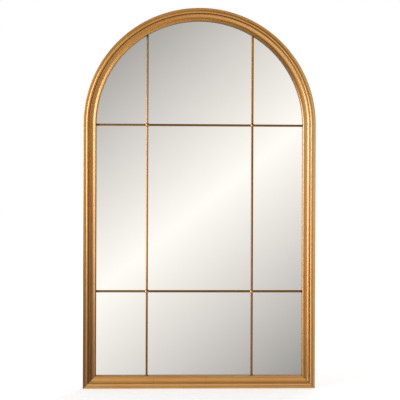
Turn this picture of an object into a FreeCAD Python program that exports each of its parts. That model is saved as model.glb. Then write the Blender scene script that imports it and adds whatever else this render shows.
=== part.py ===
import FreeCAD, Part
import math
import os
from types import SimpleNamespace

import Sketcher

# Arched wall mirror: a gilded moulded frame round one sheet of mirror glass, divided like a
# window by round bars. The front faces -Y and the back, with its hangers, faces +Y to the wall.
# Inset means the distance from the frame's outer edge, height the distance from its back plane.

# Driving dimensions, in millimetres and degrees
DIMENSIONS = {
    # Frame
    "overall_width": 717.5,
    "overall_height": 1175,
    "leg_length": 60,
    # Moulding section, from the outer edge to the sight edge
    "outer_edge_radius": 1.8,
    "band_width": 8.4,
    "band_height": 23,
    "bead_width": 8,
    "bead_rise": 3,
    "quirk_width": 2.8,
    "quirk_depth": 1.6,
    "land_width": 1.4,
    "land_rise": 2.2,
    "cove_width": 13.9,
    "cove_depth": 4,
    "lip_width": 5.5,
    "lip_rise": 2.2,
    "lip_crown": 1.9,
    "socket_cover": 2.725,
    "rabbet_width": 10,
    # Joints of the frame
    "dowel_diameter": 8,
    "dowel_length": 40,
    "dowel_outer_inset": 9,
    "dowel_rabbet_gap": 8,
    "dowel_height": 11,
    "dowel_fit_clearance": 0.05,
    "dowel_end_gap": 0.5,
    "key_length": 24,
    "key_width": 14,
    "key_thickness": 3,
    "key_cover": 1.5,
    "key_height": 12,
    "key_fit_clearance": 0.1,
    # Glass and backing
    "glass_thickness": 4,
    "glass_edge_gap": 2,
    "backing_thickness": 5,
    "backing_edge_gap": 1,
    "block_length": 30,
    "block_inset": 178.75,
    # Bars and crossing beads
    "bar_diameter": 6.35,
    "bar_offset": 162.5,
    "upper_bar_drop": 2.75,
    "lower_pane_height": 259.5,
    "socket_depth": 8,
    "bar_fit_clearance": 0.05,
    "bar_end_gap": 0.3,
    "crossing_bead_diameter": 10,
    "bead_glass_gap": 0.25,
    # Turn buttons and their screws
    "button_thickness": 2,
    "button_pivot_radius": 6.5,
    "button_nose_radius": 4.5,
    "button_reach": 15,
    "button_rabbet_gap": 8,
    "button_face_gap": 0.15,
    "button_pivot_clearance": 0.15,
    "rail_button_inset": 168.75,
    "stile_button_height": 230,
    "stile_button_drop": 196.25,
    "arch_button_angle": 52,
    "button_screw_diameter": 3.5,
    "button_screw_length": 16,
    "button_head_diameter": 7,
    "button_head_height": 2.2,
    # Strap hangers and D-rings
    "hanger_edge_gap": 1.5,
    "hanger_drop": 31.25,
    "strap_width": 15,
    "strap_end": 10,
    "strap_thickness": 1.2,
    "strap_corner_radius": 6,
    "ring_wire_diameter": 3,
    "ring_strap_gap": 1,
    "ring_leg": 4,
    "ring_corner_radius": 3.5,
    "ring_eye_clearance": 0.15,
    "ring_rest_gap": 0.3,
    "hanger_screw_diameter": 4,
    "hanger_screw_length": 16,
    "hanger_screw_near": 12,
    "hanger_screw_pitch": 18,
    "hanger_head_diameter": 7.5,
    "hanger_head_height": 2.2,
    # Screws in general
    "screw_fit_clearance": 0.05,
    "screw_slot_width": 0.9,
    "screw_slot_depth": 1,
    "screw_head_round": 1.2,
    # Wall bumpers
    "hanger_wall_gap": 0.3,
    "bumper_base_diameter": 16,
    "bumper_face_diameter": 12,
    "bumper_inset": 15,
    "rail_bumper_inset": 48.75,
    "arch_bumper_angle": 28,
}


class Size:
    """A length or angle of the mirror: its value, and the sheet formula that gives it."""

    def __init__(self, value, formula):
        self.value = value
        self.formula = formula

    def __add__(self, other):
        other = as_size(other)
        return Size(self.value + other.value, f"({self.formula} + {other.formula})")

    def __sub__(self, other):
        other = as_size(other)
        return Size(self.value - other.value, f"({self.formula} - {other.formula})")

    def __mul__(self, other):
        other = as_size(other)
        return Size(self.value * other.value, f"({self.formula} * {other.formula})")

    def __truediv__(self, other):
        other = as_size(other)
        return Size(self.value / other.value, f"({self.formula} / {other.formula})")

    def __neg__(self):
        return self * -1

    def sqrt(self):
        return Size(math.sqrt(self.value), f"sqrt({self.formula})")

    def sin(self):
        return Size(math.sin(math.radians(self.value)), f"sin({self.formula})")

    def cos(self):
        return Size(math.cos(math.radians(self.value)), f"cos({self.formula})")

    def arcsin(self):
        return Size(math.degrees(math.asin(self.value)), f"asin({self.formula})")


def as_size(number):
    """Give a plain number the form of a size."""
    if isinstance(number, Size):
        return number
    return Size(float(number), f"({float(number)})")


def make_sheet():
    """Write the driving dimensions into the sheet, and return them as sizes by name."""
    sheet = doc.addObject("Spreadsheet::Sheet", "Sizes")
    sizes = SimpleNamespace()
    for row, (name, value) in enumerate(DIMENSIONS.items(), start=1):
        sheet.set(f"A{row}", name)
        sheet.set(f"B{row}", str(value))
        sheet.setAlias(f"B{row}", name)
        setattr(sizes, name, Size(float(value), f"Sizes.{name}"))
    return sizes


doc = FreeCAD.newDocument("ArchedMirror")
size = make_sheet()
doc.recompute()
pieces = []

# Sizes that follow from the driving dimensions
ZERO = as_size(0)
HALF_WIDTH = size.overall_width / 2
SPRING = size.overall_height - HALF_WIDTH
JOINT = SPRING - size.leg_length
BEAD_END = size.band_width + size.bead_width
LAND_START = BEAD_END + size.quirk_width
COVE_START = LAND_START + size.land_width
LIP_START = COVE_START + size.cove_width
FACE_WIDTH = LIP_START + size.lip_width
FRAME_DEPTH = size.band_height + size.bead_rise
SIGHT_RADIUS = HALF_WIDTH - FACE_WIDTH
RABBET_INSET = FACE_WIDTH - size.rabbet_width
RABBET_DEPTH = size.glass_thickness + size.backing_thickness
GLASS_INSET = RABBET_INSET + size.glass_edge_gap
BACKING_INSET = RABBET_INSET + size.backing_edge_gap
BAR_RADIUS = size.bar_diameter / 2
BAR_HEIGHT = RABBET_DEPTH + size.bead_glass_gap + size.crossing_bead_diameter / 2
SOCKET_RADIUS = BAR_RADIUS + size.bar_fit_clearance
SIGHT_HEIGHT = BAR_HEIGHT + SOCKET_RADIUS + size.socket_cover
LIP_HEIGHT = SIGHT_HEIGHT + size.lip_rise
LAND_HEIGHT = LIP_HEIGHT + size.land_rise
BAR_TOP = SPRING + (SIGHT_RADIUS * SIGHT_RADIUS - size.bar_offset * size.bar_offset).sqrt()
UPPER_BAR = SPRING - size.upper_bar_drop
LOWER_BAR = FACE_WIDTH + size.lower_pane_height
DOWEL_INSETS = (size.dowel_outer_inset, RABBET_INSET - size.dowel_rabbet_gap)
KEY_INSET = (size.key_length + size.key_width) / math.sqrt(8) + size.key_cover
BUTTON_INSET = RABBET_INSET - size.button_rabbet_gap
BUTTON_RADIUS = HALF_WIDTH - BUTTON_INSET
EYE_RADIUS = size.ring_wire_diameter / 2 + size.ring_eye_clearance
EYE_OUTER_RADIUS = EYE_RADIUS + size.strap_thickness
STRAP_LENGTH = size.hanger_screw_near + size.hanger_screw_pitch + size.strap_end
RING_HALF = size.strap_width / 2 + size.ring_strap_gap + size.ring_corner_radius
RING_REACH = size.ring_corner_radius + size.ring_leg + RING_HALF
RING_REST_HEIGHT = size.ring_wire_diameter / 2 + size.ring_rest_gap
RING_LEAN = ((EYE_OUTER_RADIUS - RING_REST_HEIGHT) / RING_REACH).arcsin()
HANGER_X = HALF_WIDTH - RING_HALF - size.ring_wire_diameter / 2 - size.hanger_edge_gap
HANGER_Z = JOINT - size.hanger_drop
BUMPER_HEIGHT = EYE_OUTER_RADIUS * 2 + size.hanger_wall_gap
BUMPER_RADIUS = HALF_WIDTH - size.bumper_inset
BACK_PLANE = (FRAME_DEPTH - BUMPER_HEIGHT) / 2

SIDES = {"left": -1, "right": 1}
QUARTER_RISE = 1 - math.sqrt(0.5)
X_AXIS = FreeCAD.Vector(1, 0, 0)
Y_AXIS = FreeCAD.Vector(0, 1, 0)


def bind(thing, prop, amount):
    """Tie a property to a size, so that it follows the sheet."""
    thing.setExpression(prop, as_size(amount).formula)


def place(thing, x, y, z):
    """Tie a piece's position to sizes."""
    bind(thing, "Placement.Base.x", x)
    bind(thing, "Placement.Base.y", y)
    bind(thing, "Placement.Base.z", z)


def new_body(label, x=0, lift=0, z=0):
    """Start a piece whose own frame lies lift above the frame's back plane, towards the wall."""
    body = doc.addObject("PartDesign::Body", label)
    body.Label = label
    place(body, x, BACK_PLANE + lift, z)
    pieces.append(body)
    return body


def new_sketch(body, plane, lift=0):
    """Start a sketch on one of a piece's own planes, lifted along the plane's normal."""
    sketch = body.newObject("Sketcher::SketchObject", "Sketch")
    support = next(item for item in body.Origin.OriginFeatures if item.Role == plane)
    sketch.AttachmentSupport = [(support, "")]
    sketch.MapMode = "FlatFace"
    bind(sketch, "AttachmentOffset.Base.z", lift)
    return sketch


def tie_point(sketch, edge, end, point):
    """Hold a point of a sketch at its two coordinates."""
    for kind, amount in zip(("DistanceX", "DistanceY"), point):
        index = sketch.addConstraint(Sketcher.Constraint(kind, edge, end, amount.value))
        sketch.setExpression(f"Constraints[{index}]", amount.formula)


def tie_radius(sketch, edge, radius):
    """Hold the radius of an arc or circle of a sketch."""
    index = sketch.addConstraint(Sketcher.Constraint("Radius", edge, radius.value))
    sketch.setExpression(f"Constraints[{index}]", radius.formula)


def draw_arc(sketch, start, stop, rise):
    """Draw an arc that rises to the left of its chord, or to the right if rise is negative."""
    first = FreeCAD.Vector(start[0].value, start[1].value, 0)
    last = FreeCAD.Vector(stop[0].value, stop[1].value, 0)
    chord = last - first
    left = FreeCAD.Vector(-chord.y, chord.x, 0).normalize()
    middle = (first + last) * 0.5 + left * rise.value
    edge = sketch.addGeometry(Part.Arc(first, middle, last), False)
    width = stop[0] - start[0]
    depth = stop[1] - start[1]
    crown = rise if rise.value > 0 else -rise
    tie_radius(sketch, edge, (width * width + depth * depth) / (crown * 8) + crown / 2)
    starts_first = sketch.getPoint(edge, 1).distanceToPoint(first) < chord.Length / 2
    return edge, 1 if starts_first else 2


def draw_line(sketch, start, stop):
    """Draw a straight edge of an outline."""
    first = FreeCAD.Vector(start[0].value, start[1].value, 0)
    last = FreeCAD.Vector(stop[0].value, stop[1].value, 0)
    return sketch.addGeometry(Part.LineSegment(first, last), False), 1


def draw_outline(sketch, corners, rises=None):
    """Draw a closed outline through the corners. The edge after a corner is straight, or an arc
    where rises gives its height over the chord."""
    rises = rises or {}
    corners = [(as_size(x), as_size(y)) for x, y in corners]
    edges = []
    for number, start in enumerate(corners):
        stop = corners[(number + 1) % len(corners)]
        if number in rises:
            edges.append(draw_arc(sketch, start, stop, rises[number]))
        else:
            edges.append(draw_line(sketch, start, stop))
    for number, (edge, end) in enumerate(edges):
        next_edge, next_end = edges[(number + 1) % len(edges)]
        sketch.addConstraint(Sketcher.Constraint("Coincident", edge, 3 - end, next_edge, next_end))
        tie_point(sketch, edge, end, corners[number])


def draw_circle(sketch, x, y, radius):
    """Draw a circle about a point."""
    x, y = as_size(x), as_size(y)
    centre = FreeCAD.Vector(x.value, y.value, 0)
    normal = FreeCAD.Vector(0, 0, 1)
    edge = sketch.addGeometry(Part.Circle(centre, normal, radius.value), False)
    tie_radius(sketch, edge, radius)
    tie_point(sketch, edge, 3, (x, y))


def extrude(body, kind, sketch, length, reverse=False, both_ways=False):
    """Pad or pocket a sketch along its normal, against it, or half to each side."""
    feature = body.newObject(f"PartDesign::{kind}", kind)
    feature.Profile = sketch
    feature.SideType = "Symmetric" if both_ways else "One side"
    feature.Reversed = reverse
    bind(feature, "Length", length)
    body.Tip = feature
    return feature


def moulding_section():
    """The moulding's section as inset and height of each corner, and the rise of its arcs."""
    quirk_floor = size.band_height - size.quirk_depth
    corners = [
        (ZERO, ZERO),
        (ZERO, size.band_height - size.outer_edge_radius),
        (size.outer_edge_radius, size.band_height),
        (size.band_width, size.band_height),
        (BEAD_END, size.band_height),
        (BEAD_END, quirk_floor),
        (LAND_START, quirk_floor),
        (LAND_START, LAND_HEIGHT),
        (COVE_START, LAND_HEIGHT),
        (LIP_START, LIP_HEIGHT),
        (FACE_WIDTH, SIGHT_HEIGHT),
        (FACE_WIDTH, RABBET_DEPTH),
        (RABBET_INSET, RABBET_DEPTH),
        (RABBET_INSET, ZERO),
    ]
    rises = {
        1: size.outer_edge_radius * QUARTER_RISE,
        3: size.bead_rise,
        8: -size.cove_depth,
        9: size.lip_crown,
    }
    return corners, rises


def draw_upright_section(sketch, side):
    """Draw the moulding's section across an upright on the left (-1) or right (1)."""
    corners, rises = moulding_section()
    points = [((HALF_WIDTH - inset) * side, -height) for inset, height in corners]
    draw_outline(sketch, points, {edge: rise * side for edge, rise in rises.items()})


def drill_dowel_holes(body, sides, upwards):
    """Drill the dowel holes into the end of an upright at the joint."""
    sketch = new_sketch(body, "XY_Plane", JOINT)
    radius = size.dowel_diameter / 2 + size.dowel_fit_clearance
    for side in sides:
        for inset in DOWEL_INSETS:
            draw_circle(sketch, (HALF_WIDTH - inset) * side, -size.dowel_height, radius)
    extrude(body, "Pocket", sketch, size.dowel_length / 2 + size.dowel_end_gap, reverse=upwards)


def drill_level_sockets(body, height):
    """Drill the sockets of a level bar into the sight faces of the uprights."""
    sketch = new_sketch(body, "YZ_Plane")
    draw_circle(sketch, -BAR_HEIGHT, height, SOCKET_RADIUS)
    reach = (SIGHT_RADIUS + size.socket_depth) * 2
    extrude(body, "Pocket", sketch, reach, both_ways=True)


def drill_back_holes(body, spots, radius, depth):
    """Drill pilot holes into the back of a frame member at each spot (x, z)."""
    sketch = new_sketch(body, "XZ_Plane")
    for x, z in spots:
        draw_circle(sketch, x, z, radius)
    extrude(body, "Pocket", sketch, depth, reverse=True)


def key_corners(side, margin):
    """Corners of a mitre key in the plane of the frame, grown by a margin all round."""
    along = (size.key_width / 2 + margin) / math.sqrt(2)
    across = (size.key_length / 2 + margin) / math.sqrt(2)
    corners = []
    for on_rail, outwards in ((1, 1), (1, -1), (-1, -1), (-1, 1)):
        x = KEY_INSET + across * on_rail + along * outwards
        z = KEY_INSET - across * on_rail + along * outwards
        corners.append(((HALF_WIDTH - x) * side, z))
    return corners


def cut_key_slots(body, sides):
    """Cut the slots of the mitre keys."""
    sketch = new_sketch(body, "XZ_Plane", size.key_height)
    for side in sides:
        draw_outline(sketch, key_corners(side, size.key_fit_clearance))
    thickness = size.key_thickness + size.key_fit_clearance * 2
    extrude(body, "Pocket", sketch, thickness, both_ways=True)


# Places of the hardware on the back, as x and z
def button_places():
    """Pivot and pointing angle of each turn button, by the frame member that carries it."""
    places = {"bottom_rail": {}, "left_stile": {}, "right_stile": {}, "arch_head": {}}
    for name, side in SIDES.items():
        spot = ((HALF_WIDTH - size.rail_button_inset) * side, BUTTON_INSET, as_size(90))
        places["bottom_rail"][f"turn_button_bottom_{name}"] = spot
        heights = {"lower": size.stile_button_height, "upper": JOINT - size.stile_button_drop}
        for level, height in heights.items():
            spot = (BUTTON_RADIUS * side, height, as_size(90 * side + 90))
            places[f"{name}_stile"][f"turn_button_{name}_{level}"] = spot
        x = BUTTON_RADIUS * size.arch_button_angle.sin() * side
        z = SPRING + BUTTON_RADIUS * size.arch_button_angle.cos()
        spot = (x, z, size.arch_button_angle * -side - 90)
        places["arch_head"][f"turn_button_arch_{name}"] = spot
    places["arch_head"]["turn_button_arch_top"] = (ZERO, SPRING + BUTTON_RADIUS, as_size(-90))
    return places


def hanger_screw_places(side):
    """Places of the two screws of a strap hanger, top one first."""
    top = HANGER_Z - size.hanger_screw_near
    return [(HANGER_X * side, top), (HANGER_X * side, top - size.hanger_screw_pitch)]


BUTTONS = button_places()
BUTTON_PILOT = size.button_screw_diameter / 2 + size.screw_fit_clearance
HANGER_PILOT = size.hanger_screw_diameter / 2 + size.screw_fit_clearance
BUTTON_PILOT_DEPTH = size.button_screw_length - size.button_thickness


def drill_button_pilots(body):
    """Drill the pilot holes of the turn buttons that a frame member carries."""
    spots = [(x, z) for x, z, angle in BUTTONS[body.Label].values()]
    drill_back_holes(body, spots, BUTTON_PILOT, BUTTON_PILOT_DEPTH)


def make_arch_head():
    """The round head: the section turned half round the arch's centre, with two straight legs."""
    body = new_body("arch_head")
    section = new_sketch(body, "XY_Plane", SPRING)
    draw_upright_section(section, SIDES["left"])
    arch = body.newObject("PartDesign::Revolution", "Arch")
    arch.Profile = section
    arch.ReferenceAxis = (section, ["V_Axis"])
    arch.Angle = 180
    leg = extrude(body, "Pad", section, size.leg_length, reverse=True)
    other_leg = body.newObject("PartDesign::Mirrored", "OtherLeg")
    other_leg.Originals = [leg]
    middle = next(item for item in body.Origin.OriginFeatures if item.Role == "YZ_Plane")
    other_leg.MirrorPlane = (middle, [""])
    body.Tip = other_leg
    drill_dowel_holes(body, SIDES.values(), upwards=True)
    drill_level_sockets(body, UPPER_BAR)
    sockets = new_sketch(body, "XY_Plane", SPRING)
    for side in SIDES.values():
        draw_circle(sockets, size.bar_offset * side, -BAR_HEIGHT, SOCKET_RADIUS)
    extrude(body, "Pocket", sockets, BAR_TOP + size.socket_depth - SPRING, reverse=True)
    drill_button_pilots(body)


def make_stile(name, side):
    """A straight upright, square at the joint and mitred at the bottom corner."""
    body = new_body(f"{name}_stile")
    section = new_sketch(body, "XY_Plane")
    draw_upright_section(section, side)
    extrude(body, "Pad", section, JOINT)
    mitre = new_sketch(body, "XZ_Plane")
    inner = SIGHT_RADIUS * side
    draw_outline(mitre, [(HALF_WIDTH * side, ZERO), (inner, FACE_WIDTH), (inner, ZERO)])
    extrude(body, "Pocket", mitre, FRAME_DEPTH * 4, both_ways=True)
    drill_dowel_holes(body, [side], upwards=False)
    drill_level_sockets(body, LOWER_BAR)
    cut_key_slots(body, [side])
    drill_button_pilots(body)
    drill_back_holes(body, hanger_screw_places(side), HANGER_PILOT, size.hanger_screw_length)


def make_bottom_rail():
    """The bottom member, mitred at both ends, with the lower sockets of the upright bars."""
    body = new_body("bottom_rail")
    section = new_sketch(body, "YZ_Plane")
    corners, rises = moulding_section()
    draw_outline(section, [(-height, inset) for inset, height in corners], rises)
    extrude(body, "Pad", section, size.overall_width, both_ways=True)
    mitres = new_sketch(body, "XZ_Plane")
    for side in SIDES.values():
        outer = HALF_WIDTH * side
        draw_outline(mitres, [(outer, ZERO), (SIGHT_RADIUS * side, FACE_WIDTH), (outer, FACE_WIDTH)])
    extrude(body, "Pocket", mitres, FRAME_DEPTH * 4, both_ways=True)
    sockets = new_sketch(body, "XY_Plane", FACE_WIDTH)
    for side in SIDES.values():
        draw_circle(sockets, size.bar_offset * side, -BAR_HEIGHT, SOCKET_RADIUS)
    extrude(body, "Pocket", sockets, size.socket_depth)
    cut_key_slots(body, SIDES.values())
    drill_button_pilots(body)


def make_cylinder(label, radius, length):
    """A round rod or pin along its own Z axis."""
    rod = doc.addObject("Part::Cylinder", label)
    rod.Label = label
    bind(rod, "Radius", radius)
    bind(rod, "Height", length)
    return rod


def make_group(label, members):
    """Join like pieces into one named group of separate solids."""
    group = doc.addObject("Part::Compound", label)
    group.Label = label
    group.Links = members
    pieces.append(group)


def make_dowels():
    """Two dowels in each joint between a stile and a leg of the arch head."""
    dowels = []
    for name, side in SIDES.items():
        for inset in DOWEL_INSETS:
            dowel = make_cylinder(f"dowel_{name}", size.dowel_diameter / 2, size.dowel_length)
            x = (HALF_WIDTH - inset) * side
            place(dowel, x, BACK_PLANE - size.dowel_height, JOINT - size.dowel_length / 2)
            dowels.append(dowel)
    make_group("joint_dowels", dowels)


def make_mitre_key(name, side):
    """A flat key laid across a mitred corner, inside the wood."""
    body = new_body(f"mitre_key_{name}")
    sketch = new_sketch(body, "XZ_Plane", size.key_height)
    draw_outline(sketch, key_corners(side, ZERO))
    extrude(body, "Pad", sketch, size.key_thickness, both_ways=True)


def make_arched_sheet(label, inset, height, thickness):
    """A flat sheet with a round head, whose edge lies inset from the frame's outer edge."""
    body = new_body(label)
    sketch = new_sketch(body, "XZ_Plane", height)
    half = HALF_WIDTH - inset
    corners = [(-half, inset), (half, inset), (half, SPRING), (ZERO, SPRING + half), (-half, SPRING)]
    rise = -half * QUARTER_RISE
    draw_outline(sketch, corners, {2: rise, 3: rise})
    extrude(body, "Pad", sketch, thickness)


def make_setting_blocks():
    """Two blocks between the bottom edge of the glass and the rabbet of the bottom rail."""
    blocks = []
    for name, side in SIDES.items():
        block = doc.addObject("Part::Box", f"block_{name}")
        bind(block, "Length", size.block_length)
        bind(block, "Width", size.glass_thickness)
        bind(block, "Height", size.glass_edge_gap)
        x = (HALF_WIDTH - size.block_inset) * side - size.block_length / 2
        place(block, x, BACK_PLANE - RABBET_DEPTH, RABBET_INSET)
        blocks.append(block)
    make_group("setting_blocks", blocks)


def make_upright_bar(name, side):
    """A round bar from the bottom rail to the arch, let into a socket at each end."""
    bottom = FACE_WIDTH - size.socket_depth + size.bar_end_gap
    top = BAR_TOP + size.socket_depth - size.bar_end_gap
    bar = make_cylinder(f"vertical_bar_{name}", BAR_RADIUS, top - bottom)
    place(bar, size.bar_offset * side, BACK_PLANE - BAR_HEIGHT, bottom)
    pieces.append(bar)


def make_level_bar(level, height):
    """A level bar in three lengths, which end at the upright bars inside the crossing beads."""
    socket_end = SIGHT_RADIUS + size.socket_depth - size.bar_end_gap
    clear = BAR_RADIUS + size.bar_end_gap
    spans = {
        "left": (-socket_end, -size.bar_offset - clear),
        "middle": (clear - size.bar_offset, size.bar_offset - clear),
        "right": (size.bar_offset + clear, socket_end),
    }
    for name, (start, stop) in spans.items():
        bar = make_cylinder(f"{level}_bar_{name}", BAR_RADIUS, stop - start)
        bar.Placement.Rotation = FreeCAD.Rotation(Y_AXIS, 90)
        place(bar, start, BACK_PLANE - BAR_HEIGHT, height)
        pieces.append(bar)


def make_crossing_bead(level, name, side, height):
    """A ball drilled both ways for the bars that meet in it."""
    label = f"crossing_bead_{level}_{name}"
    centre = (size.bar_offset * side, BACK_PLANE - BAR_HEIGHT, height)
    half = size.crossing_bead_diameter / 2
    ball = doc.addObject("Part::Sphere", f"ball_{level}_{name}")
    bind(ball, "Radius", half)
    place(ball, *centre)
    hole_length = size.crossing_bead_diameter * 2
    upright = make_cylinder(f"upright_hole_{level}_{name}", SOCKET_RADIUS, hole_length)
    place(upright, centre[0], centre[1], height - size.crossing_bead_diameter)
    across = make_cylinder(f"level_hole_{level}_{name}", SOCKET_RADIUS, hole_length)
    across.Placement.Rotation = FreeCAD.Rotation(Y_AXIS, 90)
    place(across, centre[0] - size.crossing_bead_diameter, centre[1], height)
    holes = doc.addObject("Part::Fuse", f"holes_{level}_{name}")
    holes.Base = upright
    holes.Tool = across
    bead = doc.addObject("Part::Cut", label)
    bead.Label = label
    bead.Base = ball
    bead.Tool = holes
    pieces.append(bead)


def make_turn_button(label, x, z, angle):
    """A stamped pear-shaped plate, whose narrow nose reaches over the backing panel."""
    body = new_body(label, x, size.button_face_gap, z)
    body.Placement.Rotation = FreeCAD.Rotation(Y_AXIS, -angle.value)
    bind(body, "Placement.Rotation.Angle", angle * -1)
    sketch = new_sketch(body, "XZ_Plane")
    taper = (size.button_pivot_radius - size.button_nose_radius) / size.button_reach
    spread = (as_size(1) - taper * taper).sqrt()
    pivot_x = size.button_pivot_radius * taper
    pivot_z = size.button_pivot_radius * spread
    nose_x = size.button_reach + size.button_nose_radius * taper
    nose_z = size.button_nose_radius * spread
    corners = [(pivot_x, pivot_z), (pivot_x, -pivot_z), (nose_x, -nose_z), (nose_x, nose_z)]
    pivot_rise = size.button_pivot_radius + pivot_x
    nose_rise = size.button_reach + size.button_nose_radius - nose_x
    draw_outline(sketch, corners, {0: -pivot_rise, 2: -nose_rise})
    pivot_hole = size.button_screw_diameter / 2 + size.button_pivot_clearance
    draw_circle(sketch, ZERO, ZERO, pivot_hole)
    extrude(body, "Pad", sketch, size.button_thickness, reverse=True)


def make_screws(label, places, shank, length, head, head_height, seat):
    """A group of round-headed slotted screws, driven from the wall side."""
    body = new_body(label, lift=seat)
    shanks = new_sketch(body, "XZ_Plane")
    heads = new_sketch(body, "XZ_Plane")
    slots = new_sketch(body, "XZ_Plane", -head_height)
    half_slot = size.screw_slot_width / 2
    for x, z in places:
        draw_circle(shanks, x, z, shank / 2)
        draw_circle(heads, x, z, head / 2)
        left, right = x - head, x + head
        low, high = as_size(z) - half_slot, as_size(z) + half_slot
        draw_outline(slots, [(left, low), (right, low), (right, high), (left, high)])
    extrude(body, "Pad", shanks, length)
    top = extrude(body, "Pad", heads, head_height, reverse=True)
    doc.recompute()
    rims = [
        f"Edge{number}"
        for number, edge in enumerate(top.Shape.Edges, start=1)
        if edge.BoundBox.YMin > head_height.value - 0.01
    ]
    domed = body.newObject("PartDesign::Fillet", "Domed")
    domed.Base = (top, rims)
    bind(domed, "Radius", size.screw_head_round)
    body.Tip = domed
    extrude(body, "Pocket", slots, size.screw_slot_depth, reverse=True)


def make_turn_buttons():
    """The turn buttons, one node each, and the group of their pivot screws."""
    places = []
    for buttons in BUTTONS.values():
        for label, (x, z, angle) in buttons.items():
            make_turn_button(label, x, z, angle)
            places.append((x, z))
    seat = size.button_thickness + size.button_face_gap * 2
    make_screws(
        "turn_button_screws",
        places,
        size.button_screw_diameter,
        size.button_screw_length,
        size.button_head_diameter,
        size.button_head_height,
        seat,
    )


def make_hanger_strap(name, side):
    """A steel strap with two screw holes, its top rolled into an eye for the ring."""
    body = new_body(f"hanger_strap_{name}", HANGER_X * side, ZERO, HANGER_Z)
    profile = new_sketch(body, "YZ_Plane")
    step = EYE_OUTER_RADIUS - size.strap_thickness
    neck = -(EYE_OUTER_RADIUS * EYE_OUTER_RADIUS - step * step).sqrt()
    corners = [
        (ZERO, -STRAP_LENGTH),
        (size.strap_thickness, -STRAP_LENGTH),
        (size.strap_thickness, neck),
        (EYE_OUTER_RADIUS * 2, ZERO),
        (EYE_OUTER_RADIUS, EYE_OUTER_RADIUS),
        (ZERO, ZERO),
    ]
    width = EYE_OUTER_RADIUS * 2 - size.strap_thickness
    half_chord = (width * width + neck * neck).sqrt() / 2
    crown = EYE_OUTER_RADIUS - (EYE_OUTER_RADIUS * EYE_OUTER_RADIUS - half_chord * half_chord).sqrt()
    quarter = EYE_OUTER_RADIUS * QUARTER_RISE
    draw_outline(profile, corners, {2: -crown, 3: -quarter, 4: -quarter})
    draw_circle(profile, EYE_OUTER_RADIUS, ZERO, EYE_RADIUS)
    strap = extrude(body, "Pad", profile, size.strap_width, both_ways=True)
    doc.recompute()
    corners = [
        f"Edge{number}"
        for number, edge in enumerate(strap.Shape.Edges, start=1)
        if edge.BoundBox.ZMax < 0.01 - STRAP_LENGTH.value and edge.BoundBox.XLength < 0.01
    ]
    rounded = body.newObject("PartDesign::Fillet", "Rounded")
    rounded.Base = (strap, corners)
    bind(rounded, "Radius", size.strap_corner_radius)
    body.Tip = rounded
    holes = new_sketch(body, "XZ_Plane")
    first = -size.hanger_screw_near
    for z in (first, first - size.hanger_screw_pitch):
        draw_circle(holes, ZERO, z, HANGER_PILOT)
    extrude(body, "Pocket", holes, size.strap_thickness * 4, both_ways=True)


def make_hanger_ring(name, side):
    """A D-ring of round wire, standing up from its eye and leaning on the frame's back."""
    body = new_body(f"hanger_ring_{name}", HANGER_X * side, EYE_OUTER_RADIUS, HANGER_Z)
    body.Placement.Rotation = FreeCAD.Rotation(X_AXIS, RING_LEAN.value)
    bind(body, "Placement.Rotation.Angle", RING_LEAN)
    path = new_sketch(body, "XZ_Plane")
    bend = size.ring_corner_radius
    shoulder = bend + size.ring_leg
    corners = [
        (bend - RING_HALF, ZERO),
        (RING_HALF - bend, ZERO),
        (RING_HALF, bend),
        (RING_HALF, shoulder),
        (ZERO, RING_REACH),
        (-RING_HALF, shoulder),
        (-RING_HALF, bend),
    ]
    corner_rise = -bend * QUARTER_RISE
    crown_rise = -RING_HALF * QUARTER_RISE
    draw_outline(path, corners, {1: corner_rise, 3: crown_rise, 4: crown_rise, 6: corner_rise})
    section = new_sketch(body, "YZ_Plane")
    draw_circle(section, ZERO, ZERO, size.ring_wire_diameter / 2)
    wire = body.newObject("PartDesign::AdditivePipe", "Wire")
    wire.Profile = section
    wire.Spine = path
    body.Tip = wire


def make_hangers():
    """The two strap hangers with their rings, and the group of their screws."""
    places = []
    for name, side in SIDES.items():
        make_hanger_strap(name, side)
        make_hanger_ring(name, side)
        places += hanger_screw_places(side)
    make_screws(
        "hanger_screws",
        places,
        size.hanger_screw_diameter,
        size.hanger_screw_length,
        size.hanger_head_diameter,
        size.hanger_head_height,
        size.strap_thickness,
    )


def make_wall_bumper(label, x, z):
    """A tapered rubber pad on the frame's back."""
    bumper = doc.addObject("Part::Cone", label)
    bumper.Label = label
    bind(bumper, "Radius1", size.bumper_base_diameter / 2)
    bind(bumper, "Radius2", size.bumper_face_diameter / 2)
    bind(bumper, "Height", BUMPER_HEIGHT)
    bumper.Placement.Rotation = FreeCAD.Rotation(X_AXIS, -90)
    place(bumper, x, BACK_PLANE, z)
    pieces.append(bumper)


def make_wall_bumpers():
    """Two pads near the bottom corners and two on the shoulders of the arch."""
    for name, side in SIDES.items():
        rail_x = (HALF_WIDTH - size.rail_bumper_inset) * side
        make_wall_bumper(f"wall_bumper_lower_{name}", rail_x, size.bumper_inset)
        x = BUMPER_RADIUS * size.arch_bumper_angle.sin() * side
        z = SPRING + BUMPER_RADIUS * size.arch_bumper_angle.cos()
        make_wall_bumper(f"wall_bumper_upper_{name}", x, z)


def check_model():
    """Stop if a feature failed, a pocket cut nothing or a piece isn't a sound solid."""
    for thing in doc.Objects:
        if "Invalid" in thing.State or "Error" in thing.State:
            raise RuntimeError(f"{thing.Label} failed: {thing.State}")
        if thing.TypeId == "PartDesign::Pocket":
            if thing.Shape.Volume > thing.BaseFeature.Shape.Volume - 0.01:
                raise RuntimeError(f"{thing.Label} cut nothing")
    for piece in pieces:
        if piece.Shape.isNull() or not piece.Shape.isValid() or not piece.Shape.Solids:
            raise RuntimeError(f"{piece.Label} is not a sound solid")


def write_pieces():
    """Write each piece to its own file."""
    os.makedirs("parts", exist_ok=True)
    for piece in pieces:
        piece.Shape.exportStep(f"parts/{piece.Label}.step")


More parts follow.
